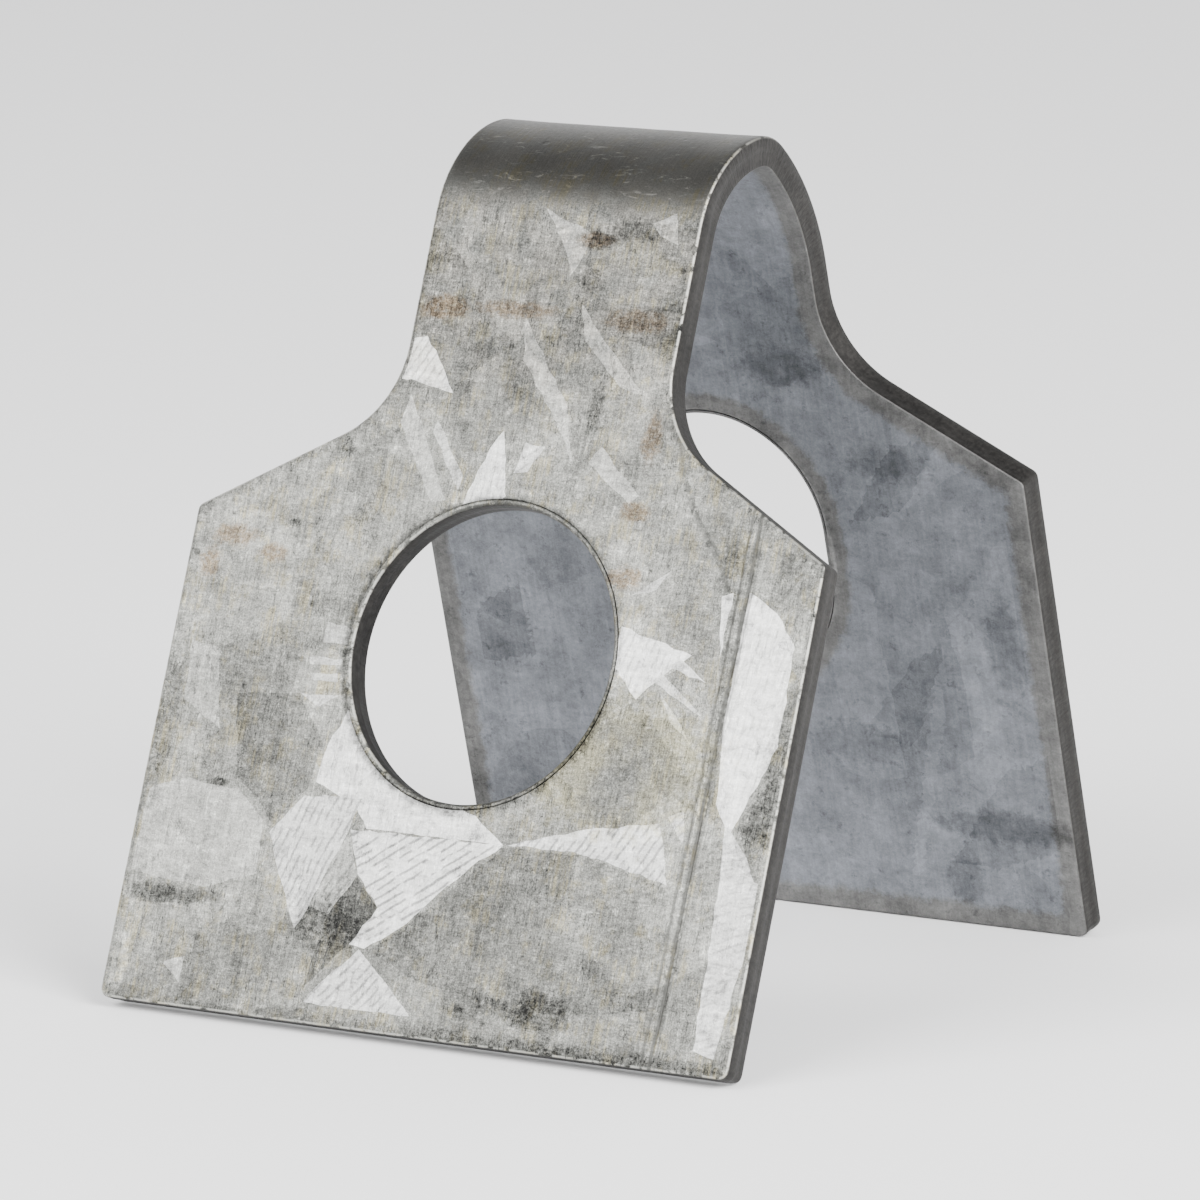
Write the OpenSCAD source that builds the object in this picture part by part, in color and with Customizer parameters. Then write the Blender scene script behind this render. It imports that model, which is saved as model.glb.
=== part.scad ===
// Folded strap: one strip of galvanised steel sheet with a narrow neck and two wide leaves,
// bent over at the neck so that the leaves hang down and stand apart like an upside-down V.
// The near leaf has a round hole and the far leaf an upright slot with round ends.
// Millimetres. X runs along the fold, the near leaf faces -Y, the far leaf faces +Y, Z is up.
// The origin is the centre of the footprint, on the surface that both leaves stand on.

/* [Sheet] */
// Thickness of the steel sheet
sheet_t = 2.5; // [2:0.1:3]
// Height from the standing surface to the top of the fold
height = 69; // [67:0.5:75]

/* [Leaves] */
// Width of each leaf
leaf_w = 60; // [54:0.5:70]
// How far the near leaf leans in from upright, in degrees
near_tilt = 23.2; // [15:0.1:28]
// How far the far leaf leans in from upright, in degrees
far_tilt = 13.5; // [8:0.1:20]
// Distance up the leaf from its bottom edge to the shoulder corner
shoulder_s = 41.2; // [38:0.1:42]
// Slope of the shoulders, in degrees
shoulder_slope = 28.8; // [22:0.1:30]
// Radius of the bottom corners
corner_r = 0.8; // [0.4:0.1:3]

/* [Neck and fold] */
// Width of the neck, which is also the length of the fold
neck_w = 25.4; // [24:0.1:30]
// Radius of the fillets between the neck and the shoulders
fillet_r = 9; // [5:0.5:9]
// Outer radius of the fold's crown on the near side
near_crown_r = 11; // [8:0.1:12]
// Outer radius of the fold's flank on the near side
near_flank_r = 9.5; // [8:0.1:12]
// Outer radius of the fold's crown on the far side
far_crown_r = 5; // [4:0.1:7]
// Outer radius of the fold's flank on the far side
far_flank_r = 19.5; // [15:0.1:20]
// Slope of the sheet where the crown meets the flank: the outward normal's elevation
flank_start = 50; // [45:1:60]

/* [Openings] */
// Distance up the near leaf from its bottom edge to the centre of its round hole
hole_s = 31.3; // [28:0.1:32]
// Diameter of the round hole in the near leaf
hole_d = 24.5; // [16:0.1:26]
// Distance up the far leaf from its bottom edge to the centre of its slot
slot_s = 33.1; // [30:0.1:34]
// Width of the slot in the far leaf
slot_w = 19.7; // [12:0.1:22]
// Height of the slot in the far leaf, end to end
slot_h = 23.5; // [22:0.1:26]

/* [Hidden] */
$fn = 128;

// How far each cutter runs past what it cuts
over = 1;

// Largest turn between two points on the fold and on a neck fillet, in degrees
fold_step = 2.5;
fillet_step = 6;

// Where a leaf's outer face begins: out from the crown's highest line, and down from it.
function leaf_out(crown_r, flank_r, tilt) =
    (crown_r - flank_r) * cos(flank_start) + flank_r * cos(tilt);
function leaf_down(crown_r, flank_r, tilt) =
    crown_r - (crown_r - flank_r) * sin(flank_start) - flank_r * sin(tilt);

// Length of a leaf's flat part, from its bottom edge to the fold.
function flat_length(down, tilt) = (height - down - sheet_t * sin(tilt)) / cos(tilt);

near_out = leaf_out(near_crown_r, near_flank_r, near_tilt);
near_down = leaf_down(near_crown_r, near_flank_r, near_tilt);
near_flat = flat_length(near_down, near_tilt);
near_reach = near_out + near_flat * sin(near_tilt);

far_out = leaf_out(far_crown_r, far_flank_r, far_tilt);
far_down = leaf_down(far_crown_r, far_flank_r, far_tilt);
far_flat = flat_length(far_down, far_tilt);
far_reach = far_out + far_flat * sin(far_tilt);

// The crown's highest line, with the footprint centred on the origin.
crown_y = (near_reach - far_reach) / 2;

// The neck line meets the shoulder line here, up the leaf, and their fillet starts at fillet_s.
neck_s = shoulder_s + (leaf_w - neck_w) / 2 * tan(shoulder_slope);
fillet_s = neck_s - fillet_r * tan(shoulder_slope) + fillet_r / cos(shoulder_slope);

// A unit vector in the end view, out sideways and up, at an elevation in degrees.
function dir(elevation) = [cos(elevation), sin(elevation)];

// Points along a round stretch of the sheet, after its first, as the outward normal turns from
// one elevation to another in steps of at most the one given.
function arc_points(centre, r, from, to, step) =
    let (steps = ceil(abs(to - from) / step))
    [for (i = [1 : steps]) centre + r * dir(from + (to - from) * i / steps)];

// One side of the bent strip, seen end on, from the crown's top at 0, 0 to the foot of the leaf.
// Depth is 0 along the outer face and sheet_t along the inner face.
function side_points(crown_r, flank_r, tilt, flat, depth) =
    let (
        flank_centre = [0, -crown_r] + (crown_r - flank_r) * dir(flank_start),
        foot = flank_centre + (flank_r - depth) * dir(tilt) + flat * dir(tilt - 90)
    )
    concat(
        arc_points([0, -crown_r], crown_r - depth, 90, flank_start, fold_step),
        arc_points(flank_centre, flank_r - depth, flank_start, tilt, fold_step),
        [foot]
    );

function reversed(points) = [for (i = [len(points) - 1 : -1 : 0]) points[i]];
function mirrored(points) = [for (p = points) [-p.x, p.y]];

// From the near leaf's foot over the fold to the far leaf's foot, at one depth in the sheet.
function strip_path(depth) = concat(
    reversed(mirrored(side_points(near_crown_r, near_flank_r, near_tilt, near_flat, depth))),
    [[0, -depth]],
    side_points(far_crown_r, far_flank_r, far_tilt, far_flat, depth)
);

// The whole strip seen end on, standing on its two bottom edges.
module strip_profile() {
    translate([crown_y, height]) polygon(concat(strip_path(0), reversed(strip_path(sheet_t))));
}

// What is cut away from a leaf above one shoulder. The fillet's arc runs from the shoulder line up
// to the neck line, and is let in a little so that it crosses that line and doesn't just touch it.
module neck_notch(flat) {
    let_in = fillet_r / 400;
    edge_x = leaf_w / 2 + over;
    edge_s = shoulder_s - over * tan(shoulder_slope);
    inner_x = neck_w / 2 - 2 * over;
    arc_centre = [neck_w / 2 + fillet_r - let_in, fillet_s];
    fillet = arc_points(arc_centre, fillet_r, 270 - shoulder_slope, 180, fillet_step);
    polygon(concat([[edge_x, flat], [edge_x, edge_s]], fillet, [[inner_x, fillet_s], [inner_x, flat]]));
}

// What is cut away to round one bottom corner. The arc is let out a little past both edges, so
// that it crosses them and doesn't just touch them.
module corner_trim() {
    let_out = corner_r / 25;
    translate([leaf_w / 2 - corner_r + let_out, corner_r - let_out]) difference() {
        translate([0, -corner_r - over]) square(corner_r + over);
        circle(corner_r);
    }
}

// Puts a flat outline on a leaf, as a cutter that goes through the sheet. The outline's X is the
// row's X and its Y runs up the leaf. The near leaf has turn 0 and the far leaf turn 180.
module through_leaf(turn, reach, tilt) {
    inner_foot = reach - sheet_t * cos(tilt);
    translate([0, crown_y, 0]) rotate([0, 0, turn]) translate([0, -inner_foot, 0])
        rotate([90 - tilt, 0, 0]) translate([0, 0, -over])
            linear_extrude(height = sheet_t + 2 * over) children();
}

// The same outline on the left and the right.
module both_sides() {
    for (flip = [0, 1]) mirror([flip, 0]) children();
}

// A strip of the given width, bent to shape.
module bent_strip(width) {
    rotate([90, 0, 90]) linear_extrude(height = width, center = true) strip_profile();
}

// Everything above the leaves, where only the neck goes on.
module above_leaves() {
    low_z = far_flat * cos(far_tilt) - over;
    margin = 6 * over;
    depth = near_out + far_out + 2 * margin;
    translate([-leaf_w / 2 - over, crown_y - near_out - margin, low_z])
        cube([leaf_w + 2 * over, depth, height - low_z + over]);
}

// The wide strip, cut down to its two leaves.
module leaves() {
    difference() {
        bent_strip(leaf_w);
        above_leaves();
        through_leaf(0, near_reach, near_tilt) both_sides() neck_notch(near_flat);
        through_leaf(180, far_reach, far_tilt) both_sides() neck_notch(far_flat);
        through_leaf(0, near_reach, near_tilt) both_sides() corner_trim();
        through_leaf(180, far_reach, far_tilt) both_sides() corner_trim();
    }
}

// An upright slot with round ends.
module slot_outline() {
    half_gap = (slot_h - slot_w) / 2;
    for (end = [-1, 1]) translate([0, end * half_gap]) circle(d = slot_w);
    square([slot_w, 2 * half_gap], center = true);
}

module folded_strap() {
    color([0.62, 0.63, 0.6]) difference() {
        union() {
            bent_strip(neck_w);
            leaves();
        }
        through_leaf(0, near_reach, near_tilt)
            translate([0, hole_s]) circle(d = hole_d);
        through_leaf(180, far_reach, far_tilt)
            translate([0, slot_s]) slot_outline();
    }
}

folded_strap();
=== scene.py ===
"""Folded strap of spangled galvanised sheet, built as a flat punched blank and then bent over."""

import math

import bpy
import numpy as np
from mathutils import Matrix, Vector, geometry


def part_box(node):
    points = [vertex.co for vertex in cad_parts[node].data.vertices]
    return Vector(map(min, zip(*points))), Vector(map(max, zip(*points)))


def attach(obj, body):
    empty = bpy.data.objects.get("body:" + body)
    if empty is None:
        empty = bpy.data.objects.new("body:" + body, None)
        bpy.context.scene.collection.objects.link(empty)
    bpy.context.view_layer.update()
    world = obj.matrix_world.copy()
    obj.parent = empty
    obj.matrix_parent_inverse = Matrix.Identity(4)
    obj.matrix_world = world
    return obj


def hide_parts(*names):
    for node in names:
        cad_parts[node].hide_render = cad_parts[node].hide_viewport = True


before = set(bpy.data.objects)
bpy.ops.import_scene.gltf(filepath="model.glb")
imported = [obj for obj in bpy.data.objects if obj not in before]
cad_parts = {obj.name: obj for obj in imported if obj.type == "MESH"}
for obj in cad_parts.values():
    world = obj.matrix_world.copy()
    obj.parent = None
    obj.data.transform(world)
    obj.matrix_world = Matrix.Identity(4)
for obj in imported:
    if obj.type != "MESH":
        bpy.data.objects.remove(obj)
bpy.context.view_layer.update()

# ---------------------------------------------------------------- sizes, in millimetres

MM = 0.001
STRAP_LOW, STRAP_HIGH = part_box("folded_strap")
HEIGHT = (STRAP_HIGH.z - STRAP_LOW.z) / MM
LEAF_W = (STRAP_HIGH.x - STRAP_LOW.x) / MM
SHEET_T = 2.5
NECK_W = 25.4
FILLET_R = 9.0
SHOULDER_S = 41.2
SHOULDER_SLOPE = math.radians(28.8)
SHOULDER_R = 0.7
CORNER_R = 0.8
HOLE_S = 31.3
HOLE_R = 12.25
SLOT_S = 33.1
SLOT_W = 19.7
SLOT_H = 23.5
FLANK_START = math.radians(50)

OUTLINE_EDGE_R = 0.28    # rounding of the outer face's edge, round the blank
OPENING_EDGE_R = 0.3     # the same round both openings
INNER_EDGE_R = 0.14      # rounding of the inner face's edge
SHEAR_DEPTH = 0.42       # share of the cut wall that is smooth; the rest is torn, and set in a little
TEAR_INSET = 0.09

GRID = 0.55              # spacing of the sheet's inner points
ARC_STEP = 0.4           # spacing of points round an outline
GUARD = 0.22             # flat margin beside a rounded edge
WAVE_DEPTH = 0.028       # half the height of the zinc's long waves, and of its short ones
RIPPLE_DEPTH = 0.012


class Side:
    """One side of the fold: crown, flank and flat leaf, measured from the crown's top line."""

    def __init__(self, crown_r, flank_r, tilt_deg):
        self.crown_r, self.flank_r, self.tilt = crown_r, flank_r, math.radians(tilt_deg)
        self.crown_len = crown_r * (math.pi / 2 - FLANK_START)
        self.bend_len = self.crown_len + flank_r * (FLANK_START - self.tilt)
        drop = crown_r - (crown_r - flank_r) * math.sin(FLANK_START)
        drop -= flank_r * math.sin(self.tilt)
        foot_lift = SHEET_T * math.sin(self.tilt)
        self.flat = (HEIGHT - drop - foot_lift) / math.cos(self.tilt)
        self.length = self.bend_len + self.flat

    def at(self, run):
        """Outward normal's elevation, distance out and distance down, at a run along the face."""
        on_crown = math.pi / 2 - run / self.crown_r
        on_flank = FLANK_START - (run - self.crown_len) / self.flank_r
        elevation = np.where(run < self.crown_len, on_crown, np.maximum(on_flank, self.tilt))
        shift = self.crown_r - self.flank_r
        crown = run < self.crown_len
        radius = np.where(crown, self.crown_r, self.flank_r)
        out = np.where(crown, 0, shift * math.cos(FLANK_START)) + radius * np.cos(elevation)
        down = self.crown_r - np.where(crown, 0, shift * math.sin(FLANK_START))
        down = down - radius * np.sin(elevation)
        past = np.maximum(run - self.bend_len, 0)
        return elevation, out + past * math.sin(self.tilt), down + past * math.cos(self.tilt)


NEAR = Side(11.0, 9.5, 23.2)
FAR = Side(5.0, 19.5, 13.5)
BLANK_L = NEAR.length + FAR.length


def bend(x, v, depth):
    """Row position, in metres, of points on the flat blank. v runs up the near leaf, over the
    fold and down the far leaf. depth is 0 on the outer face and SHEET_T on the inner face."""
    run = v - NEAR.length
    near, far = NEAR.at(np.abs(run)), FAR.at(np.abs(run))
    elevation, out, down = (np.where(run < 0, a, b) for a, b in zip(near, far))
    way = np.where(run < 0, -1.0, 1.0)
    near_reach, far_reach = NEAR.at(NEAR.length)[1], FAR.at(FAR.length)[1]
    crown_y = (near_reach - far_reach) / 2
    y = crown_y + way * (out - depth * np.cos(elevation))
    z = HEIGHT - down - depth * np.sin(elevation)
    return np.stack([x, y, z], axis=-1) * MM


# ---------------------------------------------------------------- outlines of the blank


def rounded_outline(corners):
    """Points and outward normals round a closed outline, counter-clockwise, from corners given
    as (x, v, radius)."""
    points, normals = [], []
    count = len(corners)
    for i, (x, v, r) in enumerate(corners):
        here = np.array([x, v])
        before = np.array(corners[i - 1][:2]) - here
        after = np.array(corners[(i + 1) % count][:2]) - here
        before = before / np.linalg.norm(before)
        after = after / np.linalg.norm(after)
        turn = math.pi - math.acos(np.clip(before @ after, -1, 1))
        left_turn = before[0] * after[1] - before[1] * after[0] < 0
        sign = 1 if left_turn else -1
        start = here + before * r * math.tan(turn / 2)
        start_normal = sign * np.array([-before[1], before[0]])
        centre = start - start_normal * r
        steps = max(4, round(r * turn / ARC_STEP))
        for k in range(steps + 1):
            angle = sign * turn * k / steps
            c, s = math.cos(angle), math.sin(angle)
            n = np.array([c * start_normal[0] - s * start_normal[1],
                          s * start_normal[0] + c * start_normal[1]])
            points.append(centre + n * r)
            normals.append(n * sign)
        # the straight run to the next corner's arc
        nx, nv, nr = corners[(i + 1) % count]
        nxt = np.array([nx, nv])
        beyond = np.array(corners[(i + 2) % count][:2]) - nxt
        beyond = beyond / np.linalg.norm(beyond)
        next_turn = math.pi - math.acos(np.clip(-after @ beyond, -1, 1))
        a, b = points[-1], nxt - after * nr * math.tan(next_turn / 2)
        steps = max(1, round(np.linalg.norm(b - a) / GRID))
        for k in range(1, steps):
            points.append(a + (b - a) * k / steps)
            normals.append(np.array([after[1], -after[0]]))
    return np.array(points), np.array(normals)


def blank_outline():
    """The whole blank, from the near leaf's bottom right corner round to its bottom left."""
    half, neck = LEAF_W / 2, NECK_W / 2
    neck_s = SHOULDER_S + (half - neck) * math.tan(SHOULDER_SLOPE)
    quarter = [(half, 0, CORNER_R), (half, SHOULDER_S, SHOULDER_R), (neck, neck_s, FILLET_R)]
    right = quarter + [(x, BLANK_L - v, r) for x, v, r in reversed(quarter)]
    left = [(-x, v, r) for x, v, r in reversed(right)]
    return rounded_outline(right + left)


def obround(centre_v, width, height):
    """An upright slot's edge, or a circle's where width and height are equal. Its outward normals
    point away from the sheet, into the opening."""
    r, half_gap = width / 2, (height - width) / 2
    points, normals = [], []
    steps = round(math.pi * r / ARC_STEP)
    for way in (1, -1):
        for k in range(steps + (half_gap > 0)):
            angle = math.pi * k / steps
            n = np.array([math.cos(angle), math.sin(angle)]) * way
            points.append(np.array([0, centre_v + way * half_gap]) + n * r)
            normals.append(-n)
        straight = round(2 * half_gap / GRID)
        for k in range(1, straight):
            points.append(np.array([-way * r, centre_v + way * half_gap * (1 - 2 * k / straight)]))
            normals.append(np.array([way, 0.0]))
    return np.array(points), np.array(normals)


def edge_section(outer_r, inner_r):
    """Rings from the outer face round the cut edge to the inner face, as (inset, depth, cut),
    where cut is how far the ring belongs to the sheared wall."""
    outer_steps, inner_steps = 4, 3
    rings = [(outer_r + GUARD, 0.0, 0.0)]
    for k in range(outer_steps + 1):
        a = math.radians(90) * k / outer_steps
        rings.append((outer_r * (1 - math.sin(a)), outer_r * (1 - math.cos(a)), k / outer_steps))
    shear_end = SHEET_T * SHEAR_DEPTH
    rings += [(0.0, shear_end, 1.0), (TEAR_INSET * 2 / 3, shear_end + SHEET_T / 10, 1.0),
              (TEAR_INSET, SHEET_T * 0.8, 1.0)]
    for k in range(inner_steps + 1):
        a = math.radians(90) * k / inner_steps
        inset = TEAR_INSET + inner_r * (1 - math.cos(a))
        rings.append((inset, SHEET_T - inner_r * (1 - math.sin(a)), 1 - k / inner_steps))
    rings.append((TEAR_INSET + inner_r + GUARD, SHEET_T, 0.0))
    return rings


# ---------------------------------------------------------------- marks on the sheet, in mm

# Zinc crystals on the outer face: outline as (x, v), brightness, direction of the feather lines
# in degrees, and how strongly they show. A brightness below 0 is darker than the sheet. Where
# two overlap, the later one shows. Those with v above 90 are on the far leaf.
CRYSTALS = [
    ([(-13.2, 19.5), (-12.8, 22.5), (-11.2, 26), (-6, 21), (0, 19), (2.5, 18.3), (5.6, 16.2),
      (-7.5, 16.2), (-9, 18)], 0.92, 88, 0.15),
    ([(5.6, 16.2), (3, 14.2), (0.5, 11.8), (-2, 9), (-5.5, 6.6), (-7, 6.8), (-5, 10),
      (-7.5, 12.5), (-9, 16)], 0.88, 35, 0.75),
    ([(-16.7, 15), (-14, 18.3), (-8.5, 18.6), (-9.5, 15), (-11.5, 9.5), (-12.5, 7.5),
      (-14.5, 11)], 0.7, 70, 0.6),
    ([(-9, 16), (-7.5, 12.5), (-9.5, 9), (-11.5, 9.5), (-9.5, 15)], 0.35, 60, 0.8),
    ([(-7.5, 12.4), (-5, 10), (-7, 6.8), (-10.5, 3), (-9.5, 9)], -0.25, 55, 0.5),
    ([(-6, 6.5), (-3.8, 4.8), (0, 1.7), (-10.3, 1.7), (-8, 4.5)], 0.72, 50, 0.6),
    ([(12.6, 34.7), (19.5, 33), (18.2, 32), (16, 30), (15.2, 29), (12.7, 31.5)], 0.95, 75, 0.25),
    ([(18.2, 32.8), (21.3, 30.9), (18, 31.8)], 0.75, 0, 0.1),
    ([(17, 31.4), (21.5, 28.2), (16.4, 30.6)], 0.6, 0, 0.1),
    ([(5.8, 16.2), (12, 18), (19.5, 19.4), (20.5, 17), (21.3, 14.6), (17, 15.5),
      (12, 16.4)], 0.75, 60, 0.65),
    ([(23.6, 38.5), (26.5, 37), (28.7, 34.5), (28.9, 26.5), (27, 21.5), (26, 19), (24.3, 21.5),
      (23.6, 28)], 1.0, 80, 0.2),
    ([(21.2, 37.9), (22.2, 38.3), (22.1, 33)], 0.9, 80, 0.1),
    ([(25.5, 20), (28, 17.5), (29.6, 15.5), (29.4, 9), (28.8, 4), (28.5, 1.5), (26.5, 2),
      (26.3, 8), (26, 15)], 0.75, 20, 0.3),
    ([(-4.8, 42.6), (-3, 48), (-2, 49.6), (-1.2, 46.5), (-0.5, 43.6)], 0.9, 85, 0.2),
    ([(-0.3, 46.2), (0.3, 48.8), (2.2, 48.6), (1, 46.4)], 0.6, 40, 0.4),
    ([(-8.5, 50), (-5, 45.6), (-5.2, 44.4), (-8.7, 49)], 0.5, 40, 0.3),
    ([(-12.6, 56.4), (-11, 56.8), (-9.5, 55), (-7.5, 52.3), (-12.6, 53.2)], 0.85, 60, 0.45),
    ([(-15.2, 30.9), (-15.1, 32.6), (-12.3, 32.2), (-12.4, 30.9)], 0.45, 0, 0.3),
    ([(-27.9, 30), (-25, 29.5), (-24.5, 27), (-23.5, 23), (-27.5, 25)], 0.3, 85, 0.2),
    ([(5.6, 16), (12.8, 16.2), (21.2, 14.4), (22.2, 11), (21.8, 4.5), (10, 3), (0, 4.6),
      (-5.2, 6.4), (-2, 8.8)], -0.14, 25, 0.12),
    ([(-2.2, 68.2), (2.8, 66.2), (1.5, 62.9), (0, 65.5)], 0.35, 20, 0.5),
    ([(8.2, 67.5), (10.2, 68.5), (10.9, 65.9), (9, 66.6)], 0.45, 20, 0.4),
    ([(-29.3, 10.6), (-29.1, 17.4), (-26, 18.6), (-20.5, 18.2), (-17.6, 16), (-17.2, 11.5),
      (-22, 9.9)], 0.32, 85, 0.05),
    ([(-22.5, 26), (-16.5, 26.6), (-13.2, 22.6), (-13.8, 19), (-16.5, 15.6), (-17.8, 17),
      (-21, 19.4)], -0.2, 85, 0.1),
    ([(-24.5, 3.4), (-22.5, 4.1), (-22.5, 1.9)], 0.4, 30, 0.3),
    ([(12.9, 37.3), (16.2, 39.6), (15.1, 37.9)], 0.5, 40, 0.3),
    ([(-16.2, 29.6), (-13, 29.7), (-13, 29.2), (-16, 29)], 0.5, 0, 0.1),
    ([(-15.8, 28.3), (-13.2, 28.5), (-13, 27.8), (-15.4, 27.7)], 0.45, 0, 0.1),
    ([(-16.4, 26.6), (-14.4, 25.6), (-12.6, 26.7)], 0.55, 60, 0.4),
    ([(20.2, 20), (21.6, 20.6), (22, 18)], 0.6, 60, 0.6),
    ([(29.7, 24.8), (26.6, 20.3), (28.6, 16.4), (29.7, 15)], -0.2, 85, 0.1),
    ([(17.2, 29.9), (21.6, 25.4), (18.6, 27.6)], 0.4, 0, 0.1),
    ([(3, 60.5), (6.5, 57), (10.5, 53.5), (8, 54), (4, 57.5)], 0.3, 40, 0.2),
    ([(-2, 59), (3.5, 52), (5, 47.5), (2.5, 51), (-1.5, 55.5)], 0.34, 40, 0.2),
    ([(-24, 141), (-14, 147), (-8, 144), (-11, 137), (-19, 134.5)], 0.7, 60, 0.6),
    ([(-11, 137), (-8, 144), (3, 141), (9, 136), (-3, 137.2)], 0.55, 85, 0.2),
    ([(13, 129), (21, 133), (28, 126), (21, 119.5), (14, 122)], 0.8, 35, 0.55),
    ([(-28, 117), (-20, 123), (-16, 114), (-24, 112.5)], 0.5, 80, 0.4),
    ([(1, 104), (7, 107), (10.5, 99), (5, 95)], 0.45, 50, 0.5),
    ([(11, 141), (20, 146), (28, 141), (24, 136)], -0.2, 85, 0.1),
    ([(7.5, 49), (11.8, 45.3), (11, 44.6), (6.5, 47.6)], 0.36, 40, 0.2),
    ([(-11.5, 52), (-6.2, 43.5), (-7.5, 43.2), (-12, 49.5)], 0.36, 40, 0.2),
]

# Grains on the far leaf's inner face, in the same form.
INNER_GRAINS = [
    ([(13.6, 149.8), (14.6, 149.6), (19.4, 134), (18.8, 131)], 0.3, 80, 0.1),
    ([(18, 148), (24, 139.5), (28.5, 137.5), (28.5, 146), (22, 148.5)], -0.4, 30, 0.1),
    ([(11, 137), (17, 129.5), (20, 128.5), (16, 137.5)], -0.35, 40, 0.1),
    ([(12.5, 118), (17.5, 110.5), (22.5, 109.5), (18, 116)], -0.45, 60, 0.1),
    ([(19.5, 128), (27.5, 117), (27.5, 131), (23, 136)], 0.25, 30, 0.1),
    ([(-26.5, 134), (-21, 133), (-21.5, 126.5), (-26, 128.5)], -0.5, 60, 0.1),
    ([(-21, 148), (-10, 146.5), (-12, 140), (-20, 137)], 0.25, 60, 0.1),
    ([(4, 108), (12, 104), (10.5, 96), (3, 99)], -0.3, 60, 0.1),
]

# Grooves: points along each, half-width and depth.
GROOVES = [
    ([(23.5, 44.2), (23.1, 15), (22.9, 1.5)], 0.3, 0.18),
    ([(22.5, 44.8), (22.3, 15), (22.1, 3)], 0.26, 0.1),
    ([(12.9, 51.4), (14.8, 49.6), (15.6, 47.2), (17.4, 44.2), (20.4, 40.6), (21.9, 37.8)],
     0.22, 0.09),
    ([(-28.8, 9.4), (-25, 8.9), (-20.5, 9.3)], 0.3, 0.05),
    ([(26.2, 8.9), (28, 8.7), (29.2, 8.9)], 0.2, 0.05),
]

# Dark lines beside the long grooves: where each meets the foot, half-width and strength.
SCORES = [(22.87, 0.16, 0.8), (22.07, 0.12, 0.6), (23.35, 0.07, 0.35)]

# Ragged oval patches, as centre x, centre v, half-width, half-height and strength.
DIRT = [
    (-10.2, 8.2, 3.2, 2.4, 0.7), (-7.2, 7.9, 1.8, 1.6, 0.5), (-25.5, 9.0, 5.5, 0.9, 0.8),
    (12.0, 3.2, 3.4, 1.9, 0.7), (5.0, 3.0, 2.4, 1.2, 0.55), (8.0, 3.3, 1.6, 0.8, 0.6),
    (3.2, 65.8, 2.2, 0.9, 0.6), (7.5, 66.8, 3.6, 0.9, 0.5), (3.4, 62.4, 1.3, 1.1, 0.6),
    (-11.0, 63.6, 2.4, 0.6, 0.5), (6.2, 52.0, 0.7, 2.2, 0.6), (-16.8, 47.2, 1.2, 0.8, 0.7),
    (-20.1, 40.5, 0.7, 0.5, 0.8), (-22.5, 18.6, 0.8, 0.4, 0.8), (29.2, 24.0, 1.6, 6.0, 0.6),
    (-29.2, 22.5, 1.4, 6.5, 0.5), (28.5, 18.5, 2.2, 3.0, 0.55), (22.0, 40.0, 1.8, 4.0, 0.4),
]
RUST = [
    (-10.0, 59.3, 2.6, 1.1, 1.0), (8.6, 59.4, 3.4, 1.0, 0.75), (-3.0, 59.6, 4.0, 0.8, 0.75),
    (-25.8, 39.0, 2.2, 1.0, 0.75), (-21.8, 37.8, 1.6, 0.8, 0.75), (12.2, 38.6, 1.8, 1.0, 0.75),
    (3.2, 65.8, 1.8, 0.7, 0.75), (11.8, 44.0, 1.6, 0.9, 0.75), (-27.8, 36.5, 1.0, 1.4, 0.75),
    (12.0, 50.0, 1.0, 2.2, 0.75),
]
INNER_SMUDGES = [
    (24.0, 144.5, 7.0, 1.6, 0.9), (10.0, 138.0, 5.0, 2.2, 0.75), (17.0, 112.0, 4.5, 1.6, 0.75),
    (19.0, 149.5, 2.0, 2.6, 0.75), (26.0, 128.0, 2.0, 5.0, 0.75), (8.0, 104.0, 4.0, 2.0, 0.75),
]
OLIVE = [(15.0, 23.5, 9.0, 6.0, 1.0)]


def walk(points, step):
    """Points along a broken line, smoothed by a Catmull-Rom curve, with their sideways normals."""
    p = [np.array(q, float) for q in points]
    p = [2 * p[0] - p[1]] + p + [2 * p[-1] - p[-2]]
    out = []
    for a, b, c, d in zip(p, p[1:], p[2:], p[3:]):
        count = max(2, round(np.linalg.norm(c - b) / step))
        for k in range(count):
            t = k / count
            cubic = (3 * b - a - 3 * c + d) * t ** 3
            out.append(0.5 * (2 * b + (c - a) * t + (2 * a - 5 * b + 4 * c - d) * t * t + cubic))
    out.append(p[-2])
    out = np.array(out)
    along = np.gradient(out, axis=0)
    along /= np.linalg.norm(along, axis=1)[:, None]
    return out, np.stack([-along[:, 1], along[:, 0]], axis=1)


def inside(points, polygon):
    """Which points lie inside a polygon."""
    x, y = points[:, 0], points[:, 1]
    hit = np.zeros(len(points), bool)
    for (x0, y0), (x1, y1) in zip(polygon, np.roll(polygon, -1, axis=0)):
        crosses = (y0 > y) != (y1 > y)
        slope = np.where(y1 == y0, 1.0, y1 - y0)
        hit ^= crosses & (x < x0 + (y - y0) * (x1 - x0) / slope)
    return hit


def distance_to(points, line):
    """Distance from each point to a densely sampled line."""
    best = np.full(len(points), 1e9)
    for a, b in zip(line[:-1], line[1:]):
        ab = b - a
        t = np.clip(((points - a) @ ab) / (ab @ ab), 0, 1)
        best = np.minimum(best, np.linalg.norm(points - a - t[:, None] * ab, axis=1))
    return best


def closed(loop):
    """A loop's points with the first one again at the end."""
    return np.vstack([loop, loop[:1]])


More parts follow.
